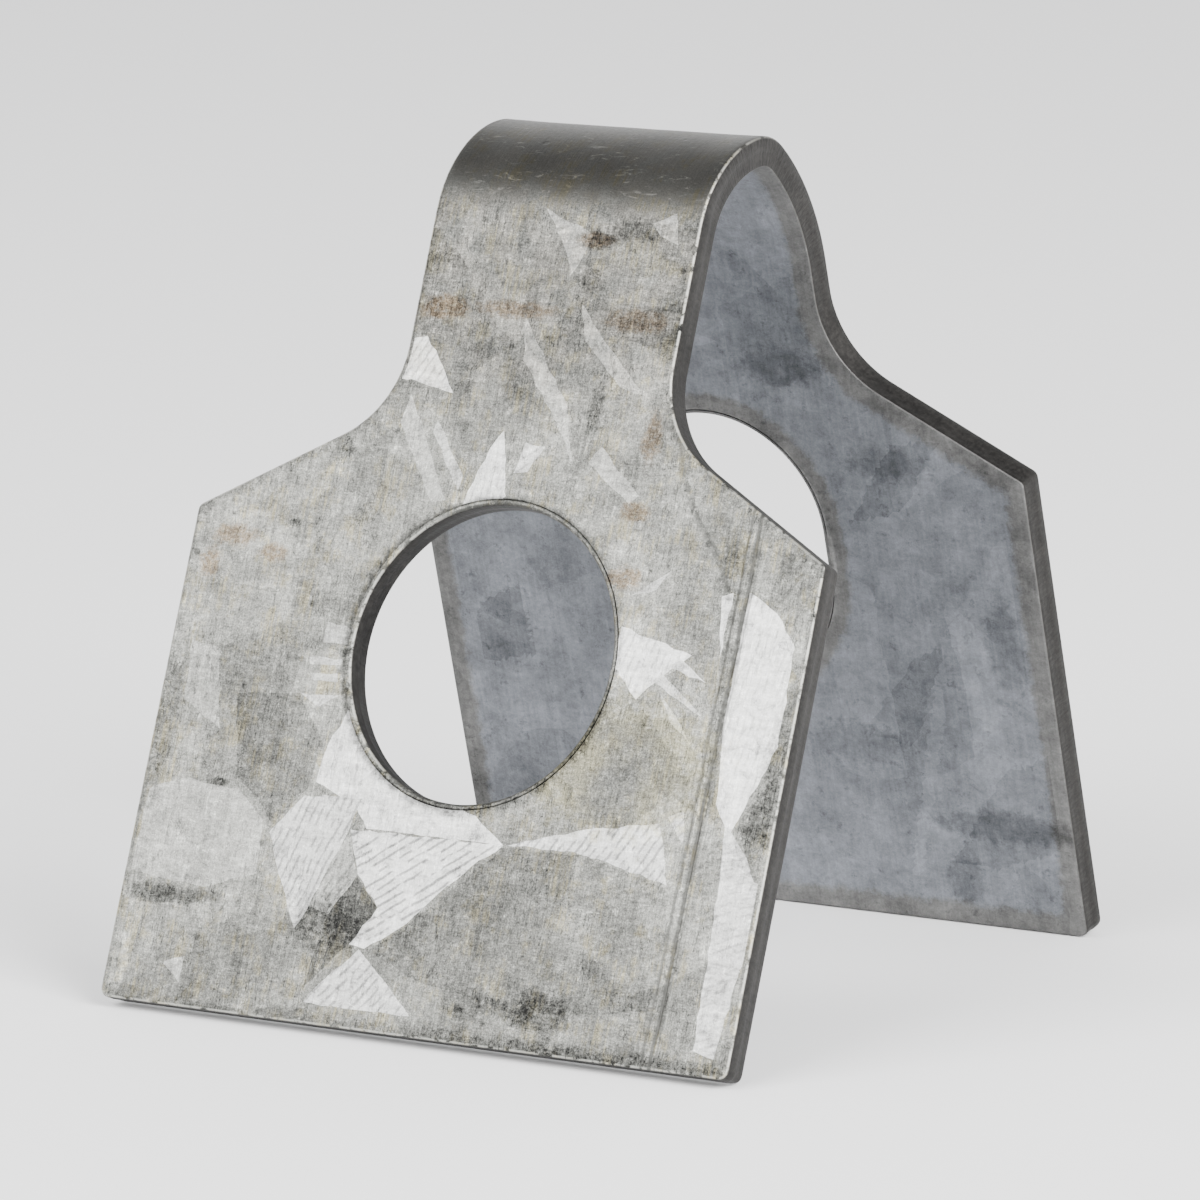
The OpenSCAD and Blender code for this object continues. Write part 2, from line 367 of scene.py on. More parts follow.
def waves(x, v, size, seed):
    """Smooth noise from -1 to 1 made of a few crossed sine waves."""
    rng = np.random.default_rng(seed)
    total = np.zeros_like(x)
    count = 8
    for _ in range(count):
        angle, phase = rng.uniform(0, math.pi), rng.uniform(0, 2 * math.pi)
        length = size * rng.uniform(0.7, 1.6)
        run = x * math.cos(angle) + v * math.sin(angle)
        total += np.sin(run * 2 * math.pi / length + phase)
    return total / count


# ---------------------------------------------------------------- the sheet's mesh


def jagged(polygon, seed):
    """A crystal's outline with small random steps along its sides."""
    step, reach = 0.9, 0.12
    rng = np.random.default_rng(seed)
    out = []
    polygon = np.array(polygon, float)
    for a, b in zip(polygon, np.roll(polygon, -1, axis=0)):
        side = b - a
        length = np.linalg.norm(side)
        normal = np.array([-side[1], side[0]]) / length
        steps = max(1, round(length / step))
        out.append(a)
        for k in range(1, steps):
            out.append(a + side * k / steps + normal * rng.uniform(-reach, reach))
    return np.array(out)


class Sheet:
    """The flat blank as a mesh in (x, v, depth), with what its material needs at each point."""

    def __init__(self):
        opening_edge = edge_section(OPENING_EDGE_R, INNER_EDGE_R)
        self.loops = [
            (*blank_outline(), edge_section(OUTLINE_EDGE_R, INNER_EDGE_R)),
            (*obround(HOLE_S, 2 * HOLE_R, 2 * HOLE_R), opening_edge),
            (*obround(BLANK_L - SLOT_S, SLOT_W, SLOT_H), opening_edge),
        ]
        # where each flat face ends and its edges begin to round
        self.face_loops = [points - normals * section[0][0] for points, normals, section in self.loops]
        self.crystals = [jagged(outline, 40 + i) for i, (outline, *_) in enumerate(CRYSTALS)]
        self.grooves = [(*walk(points, 0.7), half, deep) for points, half, deep in GROOVES]
        self.triangulate(*self.face_points())
        self.add_edges()
        self.shape()

    def in_metal(self, points):
        """Which points are inside the outline and outside both openings."""
        outline, *openings = self.face_loops
        keep = inside(points, outline)
        for opening in openings:
            keep &= ~inside(points, opening)
        return keep

    def on_face(self, points, margin):
        """Which points are on the flat face, at least a margin from where it ends."""
        keep = self.in_metal(points)
        for loop in self.face_loops:
            keep &= distance_to(points, closed(loop)) > margin
        return keep

    def face_points(self):
        """Points and fixed edges of a flat face: its loops, the marks, then a plain grid."""
        coords = [Vector(q) for loop in self.face_loops for q in loop]
        edges, base = [], 0
        for loop in self.face_loops:
            edges += [(base + i, base + (i + 1) % len(loop)) for i in range(len(loop))]
            base += len(loop)
        marks = []
        for outline in self.crystals:
            kept = self.on_face(outline, 0.12)
            for i in range(len(outline)):
                j = (i + 1) % len(outline)
                if kept[i] and kept[j]:
                    first = len(coords)
                    coords += [Vector(outline[i]), Vector(outline[j])]
                    edges.append((first, first + 1))
                    marks.append(outline[i])
        for line, normal, half_width, _ in self.grooves:
            for offset in (-1.6, -1, -0.5, 0, 0.5, 1, 1.6):
                row = line + normal * half_width * offset
                row = row[self.on_face(row, 0.15)]
                marks += list(row)
                coords += [Vector(q) for q in row]
        coords += [Vector(q) for q in self.plain_grid(np.array(marks))]
        return coords, edges

    def plain_grid(self, marks):
        """Evenly spaced points, left out where they would crowd a mark."""
        xs = np.arange(-LEAF_W / 2 + GRID / 2, LEAF_W / 2, GRID)
        vs = np.arange(GRID / 2, BLANK_L, GRID)
        grid = np.stack(np.meshgrid(xs, vs), axis=-1).reshape(-1, 2)
        grid = grid[self.on_face(grid, 0.3 * GRID)]
        block = 400
        for start in range(0, len(marks), block):
            gaps = np.linalg.norm(grid[:, None] - marks[None, start:start + block], axis=2)
            grid = grid[gaps.min(axis=1) >= 0.35 * GRID]
        return grid

    def triangulate(self, coords, edges):
        """Joins the face's points into triangles that all turn the same way."""
        merge, sliver = 1e-4, 1e-7
        verts, _, faces, sources, _, _ = geometry.delaunay_2d_cdt(coords, edges, [], 0, merge)
        self.flat = np.array([tuple(q) for q in verts])
        tris = np.array([f for f in faces if len(f) == 3])
        centre = self.flat[tris].mean(axis=1)
        a, b, c = (self.flat[tris[:, i]] for i in range(3))
        ab, ac = b - a, c - a
        twice_area = ab[:, 0] * ac[:, 1] - ab[:, 1] * ac[:, 0]
        tris[twice_area < 0] = tris[twice_area < 0][:, ::-1]
        keep = self.in_metal(centre) & (np.abs(twice_area) > sliver)
        self.tris, self.centre = tris[keep], centre[keep]
        self.index_of = {given: index for index, group in enumerate(sources) for given in group}

    def add_edges(self):
        """The second face, and the rings of every edge between the two."""
        count = len(self.flat)
        self.inner_first = count
        x, v = list(self.flat[:, 0]) * 2, list(self.flat[:, 1]) * 2
        depth = [0.0] * count + [SHEET_T] * count
        cut = [0.0] * (2 * count)
        self.quads, base = [], 0
        for points, normals, section in self.loops:
            size = len(points)
            outer_ring = [self.index_of[base + i] for i in range(size)]
            inner_ring = [count + k for k in outer_ring]
            # the inner face ends a little nearer the edge or further from it than the outer one
            for k, place in zip(inner_ring, points - normals * section[-1][0]):
                x[k], v[k] = place
            rings = [outer_ring]
            for inset, ring_depth, ring_cut in section[1:-1]:
                ring = points - normals * inset
                rings.append(list(range(len(x), len(x) + size)))
                x += list(ring[:, 0])
                v += list(ring[:, 1])
                depth += [ring_depth] * size
                cut += [ring_cut] * size
            rings.append(inner_ring)
            for upper, lower in zip(rings[:-1], rings[1:]):
                for i in range(size):
                    j = (i + 1) % size
                    self.quads.append((upper[i], lower[i], lower[j], upper[j]))
            base += size
        self.x, self.v, self.depth, self.cut = (np.array(q, float) for q in (x, v, depth, cut))

    def shape(self):
        """Soft waves in the zinc on both faces, and grooves with raised lips in the outer one."""
        plane = np.stack([self.x, self.v], axis=1)
        outer, inner = self.depth < 1e-6, self.depth > SHEET_T - 1e-6
        self.rim = np.full(len(plane), np.inf)
        for points, _, _ in self.loops:
            self.rim = np.minimum(self.rim, distance_to(plane, closed(points)))
        fade = np.clip((self.rim - 0.6) / 2.5, 0, 1)
        relief = WAVE_DEPTH * (1 + waves(self.x, self.v, 14, 3))
        relief = relief + RIPPLE_DEPTH * (1 + waves(self.x, self.v, 4, 5))
        mark, groove = np.zeros(len(plane)), np.zeros(len(plane))
        for line, _, half_width, deep in self.grooves:
            d = distance_to(plane, line) / half_width
            groove = np.maximum(groove, deep * np.clip(1 - d * d, 0, 1))
            mark = np.maximum(mark, np.clip(1 - d / 1.3, 0, 1) * min(1, deep / 0.1))
            lip = 0.35 * deep * np.exp(-((d - 1.35) / 0.35) ** 2)
            groove -= lip * (groove < 0.01)
        self.shaped = self.depth + np.where(outer, fade * (relief + groove), 0)
        self.shaped -= np.where(inner, fade * relief, 0)
        self.mark = np.where(outer, mark, 0)

    def faces(self):
        outer = [tuple(t) for t in self.tris]
        inner = [tuple(t[::-1] + self.inner_first) for t in self.tris]
        return outer + inner + self.quads

    def grains(self):
        """Brightness, feather angle and feather strength of each face."""
        out = np.zeros((2 * len(self.tris) + len(self.quads), 3))
        placed = [(outline, 0, row) for outline, row in zip(self.crystals, CRYSTALS)]
        placed += [(jagged(row[0], 7), len(self.tris), row) for row in INNER_GRAINS]
        for outline, first, (_, level, degrees, strength) in placed:
            hit = np.nonzero(inside(self.centre, outline))[0] + first
            out[hit] = level, math.radians(degrees), strength
        return out


def add_attribute(mesh, name, domain, rows):
    attribute = mesh.attributes.new(name, "FLOAT_VECTOR", domain)
    attribute.data.foreach_set("vector", rows.ravel().astype(np.float32))


def make_strap():
    sheet = Sheet()
    places = bend(sheet.x, sheet.v, sheet.shaped)
    mesh = bpy.data.meshes.new("galvanised_strap")
    mesh.from_pydata([tuple(p) for p in places], [], sheet.faces())
    add_attribute(mesh, "sheet", "POINT", np.stack([sheet.x, sheet.v, sheet.depth], axis=1))
    edge = np.stack([sheet.cut, sheet.mark, np.minimum(sheet.rim, 6)], axis=1)
    add_attribute(mesh, "edge", "POINT", edge)
    add_attribute(mesh, "grain", "FACE", sheet.grains())
    mesh.shade_smooth()
    mesh.validate()
    strap = bpy.data.objects.new("galvanised_strap", mesh)
    bpy.context.scene.collection.objects.link(strap)
    return strap


# ---------------------------------------------------------------- material

# Tones, from 0 to 1 on a perceptual scale.
# The fold's tone is a painted dark reflection, not a colour of the zinc.
SHEET_TONE, CRYSTAL_TONE, FOLD_PAINTED_REFLECTION_TONE, INNER_TONE = 0.462, 0.75, 0.25, 0.47
WALL_TONE, SCORE_TONE = 0.18, 0.27
# Arris tones: plain, worn with a painted highlight, and painted shade.
ARRIS_DULL, ARRIS_WORN_AND_PAINTED_HIGHLIGHT, ARRIS_PAINTED_SHADE = 0.34, 0.74, 0.24
DARKEST, BRIGHTEST = 0.08, 0.96

# Hues, as multipliers of a grey, each with an alpha of 1.
SHEET_HUE, CRYSTAL_HUE, NECK_HUE = (1.0, 1.005, 0.925, 1), (1.0, 1.0, 0.97, 1), (1.03, 1.0, 0.9, 1)
WARM_HUE, OLIVE_HUE, RUST_HUE = (1.07, 0.99, 0.7, 1), (1.06, 1.0, 0.66, 1), (1.22, 0.92, 0.6, 1)
INNER_HUE, BORDER_HUE, WALL_HUE = (0.93, 0.98, 1.08, 1), (1.02, 1.0, 0.95, 1), (1.05, 0.99, 0.93, 1)

SCORE_LEAN = 0.0143      # how far the dark lines move right for each mm up the leaf
BUMP_HEIGHT = 0.00012    # metres


class Nodes:
    """Short calls for building a shader from numbers and noises."""

    def __init__(self, name):
        self.material = bpy.data.materials.new(name)
        self.material.use_nodes = True
        self.tree = self.material.node_tree
        self.tree.nodes.clear()
        self.out = self.tree.nodes.new("ShaderNodeOutputMaterial")
        self.shader = self.tree.nodes.new("ShaderNodeBsdfPrincipled")
        self.tree.links.new(self.shader.outputs[0], self.out.inputs[0])

    def put(self, socket, value):
        if isinstance(value, bpy.types.NodeSocket):
            self.tree.links.new(value, socket)
        else:
            socket.default_value = value

    def math(self, operation, a, b=0.0, c=0.0):
        node = self.tree.nodes.new("ShaderNodeMath")
        node.operation = operation
        for socket, value in zip(node.inputs, (a, b, c)):
            self.put(socket, value)
        return node.outputs[0]

    def add(self, a, b):
        return self.math("ADD", a, b)

    def sub(self, a, b):
        return self.math("SUBTRACT", a, b)

    def mul(self, a, b):
        return self.math("MULTIPLY", a, b)

    def highest(self, a, b):
        return self.math("MAXIMUM", a, b)

    def between(self, value, low, high):
        return self.math("MINIMUM", self.highest(value, low), high)

    def vary(self, value, *noises):
        """Moves a value by each noise's difference from 0.5, times the noise's weight."""
        for noise, weight in noises:
            value = self.add(value, self.mul(self.sub(noise, 0.5), weight))
        return value

    def vector(self, operation, a, b=(0, 0, 0)):
        node = self.tree.nodes.new("ShaderNodeVectorMath")
        node.operation = operation
        self.put(node.inputs[0], a)
        self.put(node.inputs[1], b)
        return node.outputs["Value"] if operation == "LENGTH" else node.outputs[0]

    def combine(self, a, b, c):
        node = self.tree.nodes.new("ShaderNodeCombineXYZ")
        for socket, value in zip(node.inputs, (a, b, c)):
            self.put(socket, value)
        return node.outputs[0]

    def separate(self, vector):
        node = self.tree.nodes.new("ShaderNodeSeparateXYZ")
        self.put(node.inputs[0], vector)
        return node.outputs[0], node.outputs[1], node.outputs[2]

    def attribute(self, name):
        node = self.tree.nodes.new("ShaderNodeAttribute")
        node.attribute_name = name
        return node.outputs["Vector"]

    def noise(self, vector, scale, detail=3.0, roughness=0.55, distortion=0.0):
        node = self.tree.nodes.new("ShaderNodeTexNoise")
        self.put(node.inputs["Vector"], vector)
        node.inputs["Scale"].default_value = scale
        node.inputs["Detail"].default_value = detail
        node.inputs["Roughness"].default_value = roughness
        node.inputs["Distortion"].default_value = distortion
        return node.outputs[0]

    def noise_vector(self, vector, scale, detail):
        node = self.tree.nodes.new("ShaderNodeTexNoise")
        self.put(node.inputs["Vector"], vector)
        node.inputs["Scale"].default_value = scale
        node.inputs["Detail"].default_value = detail
        return node.outputs["Color"]

    def cells(self, vector, scale):
        node = self.tree.nodes.new("ShaderNodeTexVoronoi")
        self.put(node.inputs["Vector"], vector)
        node.inputs["Scale"].default_value = scale
        return node

    def step(self, value, low, high, a=0.0, b=1.0):
        """A smooth ramp of value, from a at low to b at high."""
        node = self.tree.nodes.new("ShaderNodeMapRange")
        node.interpolation_type = "SMOOTHSTEP"
        names = ("Value", "From Min", "From Max", "To Min", "To Max")
        for name, given in zip(names, (value, low, high, a, b)):
            self.put(node.inputs[name], given)
        return node.outputs[0]

    def mix(self, factor, a, b):
        """Number a where factor is 0 and b where it is 1."""
        return self.add(a, self.mul(factor, self.sub(b, a)))

    def tint(self, factor, a, b):
        """Colour a where factor is 0 and b where it is 1."""
        node = self.tree.nodes.new("ShaderNodeMix")
        node.data_type = "RGBA"
        node.clamp_factor = True
        self.put(node.inputs[0], factor)
        self.put(node.inputs[6], a)
        self.put(node.inputs[7], b)
        return node.outputs[2]


class Galvanised(Nodes):
    """The strap's one material, over the attributes that make_strap() writes."""

    def __init__(self):
        super().__init__("galvanised_steel")
        self.sheet = self.attribute("sheet")
        self.x, self.v, self.depth = self.separate(self.sheet)
        self.cut, self.groove, self.rim = self.separate(self.attribute("edge"))
        self.bright, self.angle, self.feather = self.separate(self.attribute("grain"))
        self.inner = self.step(self.depth, 1.2, 1.3)
        self.outer = self.sub(1.0, self.inner)
        self.wall = self.step(self.cut, 0.45, 0.95)
        on_neck = self.step(self.v, 48.0, 58.0)
        self.on_neck = self.mul(on_neck, self.step(self.v, NEAR.length + 2.0, NEAR.length))
        self.to_hole = self.vector("LENGTH", self.combine(self.x, self.sub(self.v, HOLE_S), 0.0))
        self.make_noises()
        self.make_grains()
        tone = self.scratched(self.crystals(self.outer_tone()))
        tone = self.pitted(self.stained(tone))
        # the fold's outside takes a painted dark reflection in its colour
        tone = self.mix(self.fold(), tone, self.fold_painted_reflection_and_scuffs())
        tone = self.mix(self.inner, tone, self.inner_tone())
        tone = self.scored(self.edged(tone))
        self.colour(self.between(tone, DARKEST, BRIGHTEST))
        self.finish()

    def stretched(self, scales, detail, roughness, distortion=0.0):
        """A noise over the sheet's coordinates times the given scales."""
        place = self.vector("MULTIPLY", self.sheet, scales)
        return self.noise(place, 1.0, detail, roughness, distortion)

    def make_noises(self):
        self.blotch = self.noise(self.sheet, 0.16, 4.0, 0.6)
        self.cloud = self.noise(self.sheet, 0.45, 4.0, 0.6)
        self.ragged = self.noise(self.sheet, 0.9, 5.0, 0.7)
        self.grit = self.noise(self.sheet, 2.6, 4.0, 0.65)
        self.dust = self.noise(self.sheet, 6.5, 3.0, 0.75)
        self.along = self.stretched((3.2, 0.16, 1.0), 3.0, 0.6)
        self.across = self.stretched((0.14, 2.4, 1.0), 3.0, 0.6)
        self.fine_along = self.stretched((9.0, 0.5, 1.0), 2.0, 0.5)
        self.fine_across = self.stretched((0.5, 8.0, 1.0), 2.0, 0.5)
        self.worn = self.stretched((0.55, 0.9, 1.0), 6.0, 0.75, 0.6)

    def make_grains(self):
        """Background grains, large and small, over warped coordinates, so their sides are crooked."""
        warp_by = 1.4
        warp = self.vector("SUBTRACT", self.noise_vector(self.sheet, 0.25, 2.0), (0.5, 0.5, 0.5))
        warped = self.vector("ADD", self.sheet, self.vector("MULTIPLY", warp, (warp_by, warp_by, warp_by)))
        big = self.cells(warped, 0.085)
        small = self.cells(self.vector("MULTIPLY", warped, (1, 0.7, 1)), 0.21)
        self.big_r, self.big_g, self.big_b = self.separate(big.outputs["Color"])
        self.small_r, self.small_g, _ = self.separate(small.outputs["Color"])

    def feathers(self, direction, spacing, sharp):
        """Lines along a direction, bent a little by the blotches."""
        c, s = self.math("COSINE", direction), self.math("SINE", direction)
        off = self.sub(self.mul(self.v, c), self.mul(self.x, s))
        off = self.vary(off, (self.blotch, 1.0))
        return self.step(self.math("SINE", self.mul(off, 2 * math.pi / spacing)), sharp, 1.0)

    def outer_tone(self):
        tone = self.vary(
            SHEET_TONE, (self.big_r, 0.1), (self.small_r, 0.06), (self.blotch, 0.3), (self.cloud, 0.22),
            (self.grit, 0.4), (self.dust, 0.62), (self.along, 0.22), (self.across, 0.1),
            (self.fine_along, 0.2), (self.fine_across, 0.12), (self.worn, 0.3))
        lines = self.feathers(self.mul(self.big_g, math.pi), 0.7, 0.2)
        tone = self.add(tone, self.mul(self.mul(lines, self.step(self.big_b, 0.55, 0.95)), 0.025))
        tone = self.sub(tone, self.mul(self.on_neck, 0.1))
        return self.sub(tone, self.step(self.v, 20.0, 8.0, 0.0, 0.03))

    def crystals(self, tone):
        """The placed crystals and darker grains, with feather lines in the crystals."""
        crystal = self.vary(CRYSTAL_TONE, (self.grit, 0.3), (self.dust, 0.34), (self.across, 0.2),
                            (self.along, 0.16), (self.worn, 0.5))
        lines = self.feathers(self.angle, 0.68, 0.15)
        lines = self.mul(lines, self.step(self.noise(self.sheet, 0.6, 2.0), 0.42, 0.5))
        self.lines = self.mul(lines, self.feather)
        crystal = self.sub(crystal, self.mul(self.lines, 0.34))
        showing = self.step(self.worn, 0.3, 0.46, 0.55, 1.0)
        self.crystal = self.mul(self.highest(self.bright, 0.0), showing)
        tone = self.mix(self.crystal, tone, crystal)
        return self.add(tone, self.mul(self.math("MINIMUM", self.bright, 0.0), 0.45))

    def hairlines(self, stretch, width, seed):
        """Thin broken lines where a stretched noise crosses its middle."""
        place = self.vector("MULTIPLY", self.sheet, stretch)
        place = self.vector("ADD", place, (seed, seed, seed))
        off = self.math("ABSOLUTE", self.sub(self.noise(place, 1.0, 3.0, 0.6, 0.4), 0.5))
        return self.step(off, width, width * 0.2)

    def scratched(self, tone):
        """Hairline scratches, dark along the leaf and bright both ways."""
        dark = self.mul(self.hairlines((1.0, 0.2, 1), 0.014, 3.0), self.step(self.blotch, 0.42, 0.55))
        pale = self.mul(self.hairlines((0.9, 0.16, 1), 0.013, 11.0), self.step(self.ragged, 0.48, 0.6))
        cross = self.mul(self.hairlines((0.22, 1.1, 1), 0.012, 23.0), self.step(self.ragged, 0.5, 0.6))
        tone = self.sub(tone, self.mul(dark, 0.13))
        return self.add(tone, self.mul(self.highest(pale, cross), 0.13))

    def patches(self, rows):
        """Soft oval patches with ragged edges, from rows such as those of DIRT."""
        total = 0.0
        for centre_x, centre_v, half_x, half_v, amount in rows:
            dx = self.mul(self.sub(self.x, centre_x), 1 / half_x)
            dv = self.mul(self.sub(self.v, centre_v), 1 / half_v)
            reach = self.math("SQRT", self.add(self.mul(dx, dx), self.mul(dv, dv)))
            patch = self.step(self.vary(reach, (self.ragged, 1.8)), 1.15, 0.55)
            total = self.highest(total, self.mul(patch, amount))
        return total

    def stained(self, tone):
        """Dirt at marked places, along the foot, round the hole and on the rims, and then rust."""
        foot = self.step(self.vary(self.v, (self.ragged, 3.0)), 1.5, 0.4)
        foot = self.mul(foot, self.step(self.x, -24.0, 12.0, 0.3, 1.0))
        ring = self.step(self.vary(self.to_hole, (self.ragged, 1.6)), HOLE_R + 1.3, HOLE_R + 0.3)
        ring = self.mul(ring, self.step(self.v, HOLE_S + 4.0, HOLE_S - 5.0, 0.35, 1.0))
        rubbed = self.step(self.vary(self.rim, (self.ragged, 2.4)), 0.9, 0.2)
        dirt = self.patches(DIRT)
        for part, amount in ((foot, 0.75), (rubbed, 0.35), (ring, 0.9)):
            dirt = self.highest(dirt, self.mul(part, amount))
        self.dirt = self.mul(dirt, self.outer)
        speck = self.step(self.noise(self.sheet, 1.9, 6.0, 0.8, 1.2), 0.44, 0.62)
        tone = self.sub(tone, self.mul(self.dirt, self.add(0.06, self.mul(speck, 0.24))))
        self.rust = self.mul(self.patches(RUST), self.outer)
        return self.sub(tone, self.mul(self.mul(self.rust, self.step(self.grit, 0.42, 0.58)), 0.16))

    def pitted(self, tone):
        """Dark pits and mottling, and light flecks."""
        pits = self.cells(self.sheet, 0.42)
        chosen, _, _ = self.separate(pits.outputs["Color"])
        near = self.step(pits.outputs["Distance"], 0.16, 0.06)
        self.pit = self.mul(near, self.step(chosen, 0.7, 0.74))
        tone = self.sub(tone, self.mul(self.pit, 0.12))
        mottle = self.step(self.noise(self.sheet, 1.5, 5.0, 0.75), 0.56, 0.68)
        tone = self.sub(tone, self.mul(self.mul(mottle, self.step(self.blotch, 0.45, 0.6)), 0.1))
        flecks = self.step(self.noise(self.sheet, 2.1, 5.0, 0.8, 0.8), 0.6, 0.68)
        return self.add(tone, self.mul(flecks, 0.1))

    def fold(self):
        """How far a point is on the outside of the fold, where the colour is darkened as a painted dark
        reflection.
        """
        begins = self.step(self.vary(self.v, (self.cloud, 3.0)), NEAR.flat - 0.4, NEAR.flat + 3.0)
        ends = self.step(self.v, NEAR.length + 22.0, NEAR.length + 12.0)
        self.on_fold = self.mul(self.mul(begins, ends), self.outer)
        return self.on_fold

    def fold_painted_reflection_and_scuffs(self):
        # a painted dark reflection over the fold, with light scuffs and dust in it
        place = self.vector("MULTIPLY", self.sheet, (0.5, 1.8, 1.0))
        scuff = self.step(self.noise(place, 0.9, 4.0, 0.7, 1.5), 0.56, 0.72)
        tone = self.vary(FOLD_PAINTED_REFLECTION_TONE, (self.blotch, 0.12))
        tone = self.add(tone, self.mul(scuff, 0.14))
        return self.vary(tone, (self.dust, 0.14))

    def inner_tone(self):
        """The inner face is softer, with smudges and a dark border along its cut edges."""
        tone = self.vary(INNER_TONE, (self.dust, 0.14), (self.big_r, 0.05), (self.small_g, 0.03),
                         (self.blotch, 0.24), (self.cloud, 0.14), (self.along, 0.1),
                         (self.worn, 0.22), (self.grit, 0.14))
        tone = self.add(tone, self.mul(self.bright, 0.12))
        tone = self.sub(tone, self.mul(self.step(self.ragged, 0.56, 0.7), 0.09))
        tone = self.sub(tone, self.mul(self.patches(INNER_SMUDGES), 0.1))
        self.border = self.step(self.vary(self.rim, (self.ragged, 2.2)), 2.3, 1.5)
        tone = self.sub(tone, self.mul(self.border, 0.07))
        return self.sub(tone, self.step(self.x, 2.0, -16.0, 0.0, 0.05))

    def edged(self, tone):
        """Sheared walls are dark, and the corner beside each is worn bright in places; along the near
        leaf's outer face that bright corner is also a painted highlight, and the hole's right rim gets
        painted shade.
        """
        wall_tone = self.vary(WALL_TONE, (self.grit, 0.2), (self.cloud, 0.1))
        tone = self.mix(self.wall, tone, wall_tone)
        arris = self.mul(self.step(self.cut, 0.05, 0.35), self.step(self.cut, 0.85, 0.5))
        arris = self.mul(arris, self.step(self.noise(self.sheet, 0.8, 4.0, 0.7), 0.42, 0.5))
        # painted shade on the hole's right rim, which faces away from the light
        hole_rim_painted_shade = self.step(self.to_hole, HOLE_R + 1.0, HOLE_R + 0.5)
        hole_rim_painted_shade = self.mul(hole_rim_painted_shade, self.step(self.x, -8.0, -4.0))
        # where the arris gets a painted highlight (and the hole's painted shade): full on the near leaf's
        # outer face, fainter on the far leaf
        arris_painted_light = self.step(self.v, NEAR.length + 1.0, NEAR.length - 4.0, 0.25, 1.0)
        arris_painted_light = self.mul(self.step(self.depth, 1.2, 1.0), arris_painted_light)
        arris_tone = self.mix(arris_painted_light, ARRIS_DULL, self.mix(hole_rim_painted_shade, ARRIS_WORN_AND_PAINTED_HIGHLIGHT, ARRIS_PAINTED_SHADE))
        return self.mix(self.mul(arris, 0.75), tone, arris_tone)

    def scored(self, tone):
        """Dark lines beside the long grooves, and in the others."""
        wander = self.sub(self.noise(self.combine(0.0, self.v, 0.0), 0.2, 4.0), 0.5)
        lean = self.add(self.mul(self.v, SCORE_LEAN), self.mul(wander, 0.4))
        score = 0.0
        for foot_x, half_width, amount in SCORES:
            off = self.math("ABSOLUTE", self.sub(self.sub(self.x, foot_x), lean))
            line = self.step(off, half_width * 1.7, half_width * 0.5)
            score = self.highest(score, self.mul(line, amount))
        score = self.mul(score, self.step(self.ragged, 0.3, 0.5, 0.5, 1.0))
        score = self.mul(score, self.step(self.v, 46.0, 45.0))
        score = self.mul(score, self.outer)
        others = self.mul(self.groove, self.mul(self.step(self.x, 22.2, 21.8), 0.6))
        return self.mix(self.highest(score, others), tone, self.vary(SCORE_TONE, (self.grit, 0.2)))

    def colour(self, tone):
        """Grey-green outside, blue-grey inside, and brown where stained or rusty."""
        linear = self.math("POWER", tone, 2.2)
        hue = self.tint(self.step(self.bright, 0.1, 0.8), SHEET_HUE, CRYSTAL_HUE)
        hue = self.tint(self.mul(self.on_neck, self.step(self.cloud, 0.35, 0.6)), hue, NECK_HUE)
        warm = self.step(self.noise(self.sheet, 0.3, 4.0, 0.7), 0.48, 0.62)
        warm = self.mul(self.mul(warm, self.step(self.along, 0.38, 0.6)), self.step(self.bright, 0.3, 0.0))
        hue = self.tint(warm, hue, WARM_HUE)
        olive = self.mul(self.patches(OLIVE), self.step(self.blotch, 0.3, 0.6))
        hue = self.tint(self.mul(olive, 0.8), hue, OLIVE_HUE)
        hue = self.tint(self.mul(self.rust, self.step(self.grit, 0.3, 0.55)), hue, RUST_HUE)
        hue = self.tint(self.inner, hue, INNER_HUE)
        hue = self.tint(self.mul(self.mul(self.border, self.inner), 0.8), hue, BORDER_HUE)
        hue = self.tint(self.wall, hue, WALL_HUE)
        grey = self.combine(linear, linear, linear)
        self.put(self.shader.inputs["Base Color"], self.vector("MULTIPLY", grey, hue))

    def finish(self):
        """Metal, with its roughness and its fine relief."""
        self.shader.inputs["Metallic"].default_value = 0.8
        rough = self.vary(0.5, (self.grit, 0.2))
        rough = self.sub(rough, self.mul(self.crystal, 0.08))
        rough = self.add(rough, self.mul(self.dirt, 0.15))
        rough = self.sub(rough, self.mul(self.on_fold, 0.1))
        self.put(self.shader.inputs["Roughness"], self.between(rough, 0.2, 0.9))
        torn = self.sub(self.noise(self.vector("MULTIPLY", self.sheet, (3, 3, 0.5)), 1.0), 0.5)
        relief = self.mul(self.sub(self.grit, 0.5), 0.5)
        relief = self.vary(relief, (self.along, 0.35), (self.fine_along, 0.25))
        relief = self.sub(relief, self.mul(self.pit, 0.5))
        relief = self.sub(relief, self.mul(self.lines, 0.25))
        relief = self.add(relief, self.mul(self.mul(self.wall, torn), 1.2))
        bump = self.tree.nodes.new("ShaderNodeBump")
        bump.inputs["Strength"].default_value = 0.35
        bump.inputs["Distance"].default_value = BUMP_HEIGHT
        self.put(bump.inputs["Height"], relief)
        self.put(self.shader.inputs["Normal"], bump.outputs[0])


# ---------------------------------------------------------------- the object

strap = make_strap()
strap.data.materials.append(Galvanised().material)
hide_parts("folded_strap")
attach(strap, "root")

# ---------------------------------------------------------------- floor, light and camera


def plain(name, colour, roughness):
    n = Nodes(name)
    n.shader.inputs["Base Color"].default_value = (*colour, 1)
    n.shader.inputs["Roughness"].default_value = roughness
    return n.material


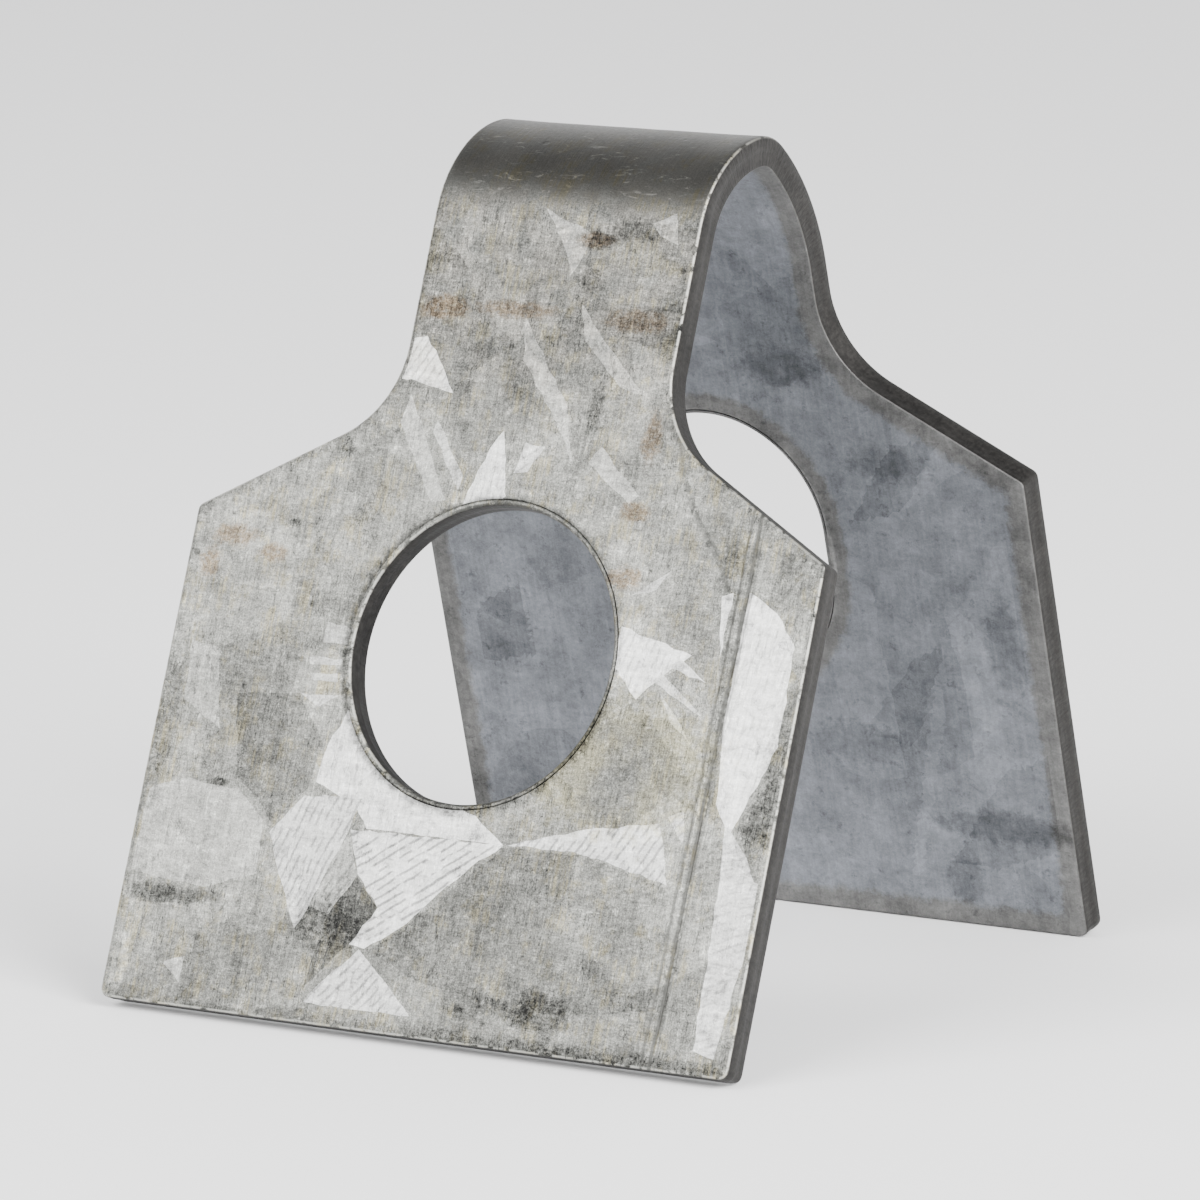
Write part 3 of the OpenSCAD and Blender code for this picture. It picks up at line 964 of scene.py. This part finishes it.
def make_floor():
    size = 3.0
    mesh = bpy.data.meshes.new("floor")
    mesh.from_pydata([(-size, -size, 0), (size, -size, 0), (size, size, 0), (-size, size, 0)], [],
                     [(0, 1, 2, 3)])
    floor = bpy.data.objects.new("floor", mesh)
    floor.location.z = STRAP_LOW.z
    bpy.context.scene.collection.objects.link(floor)
    mesh.materials.append(plain("floor_paper", (0.96, 0.96, 0.96), 0.9))


def soft_light(name, azimuth, elevation, distance, size, power):
    """A square soft light that looks at the strap. Azimuth 0 is in front, and 90 to the right."""
    a, e = math.radians(azimuth), math.radians(elevation)
    away = Vector((math.sin(a) * math.cos(e), -math.cos(a) * math.cos(e), math.sin(e)))
    light = bpy.data.lights.new(name, "AREA")
    light.shape, light.size, light.energy = "SQUARE", size, power
    lamp = bpy.data.objects.new(name, light)
    lamp.location = away * distance + Vector((0, 0, HEIGHT / 2 * MM))
    lamp.rotation_euler = away.to_track_quat("Z", "Y").to_euler()
    bpy.context.scene.collection.objects.link(lamp)


def make_world():
    """Bright round the horizon and dark overhead, as in a studio with side lights."""
    world = bpy.data.worlds.new("studio")
    bpy.context.scene.world = world
    world.use_nodes = True
    tree = world.node_tree
    place = tree.nodes.new("ShaderNodeTexCoord")
    parts = tree.nodes.new("ShaderNodeSeparateXYZ")
    ramp = tree.nodes.new("ShaderNodeValToRGB")
    tree.links.new(place.outputs["Generated"], parts.inputs[0])
    tree.links.new(parts.outputs[2], ramp.inputs[0])
    ramp.color_ramp.elements[0].position = 0.55
    ramp.color_ramp.elements[0].color = (1, 1, 1, 1)
    ramp.color_ramp.elements[1].position = 0.85
    ramp.color_ramp.elements[1].color = (0.08, 0.08, 0.09, 1)
    back = tree.nodes["Background"]
    tree.links.new(ramp.outputs[0], back.inputs[0])
    back.inputs[1].default_value = 2.0


def make_camera():
    azimuth, elevation, roll = math.radians(32.9), math.radians(11.3), math.radians(-1.4)
    distance, aim_right, aim_up = 702.0, -2.4, -38.4
    back = Vector((math.sin(azimuth) * math.cos(elevation), -math.cos(azimuth) * math.cos(elevation),
                   math.sin(elevation)))
    level = Vector((math.cos(azimuth), math.sin(azimuth), 0))
    upright = back.cross(level)
    right = math.cos(roll) * level + math.sin(roll) * upright
    up = math.cos(roll) * upright - math.sin(roll) * level
    crown = Vector(bend(np.array(0.0), np.array(NEAR.length), np.array(0.0)))
    camera = bpy.data.objects.new("camera", bpy.data.cameras.new("camera"))
    camera.data.sensor_width = 36.0
    camera.data.lens = 259.0
    camera.data.clip_end = 20
    place = crown + (right * aim_right + up * aim_up + back * distance) * MM
    turn = Matrix((right, up, back)).transposed().to_4x4()
    camera.matrix_world = Matrix.Translation(place) @ turn
    bpy.context.scene.collection.objects.link(camera)
    bpy.context.scene.camera = camera


make_floor()
make_world()
soft_light("key", 70, 30, 0.9, 0.5, 17)
soft_light("front", -20, 35, 1.1, 0.8, 16)
make_camera()
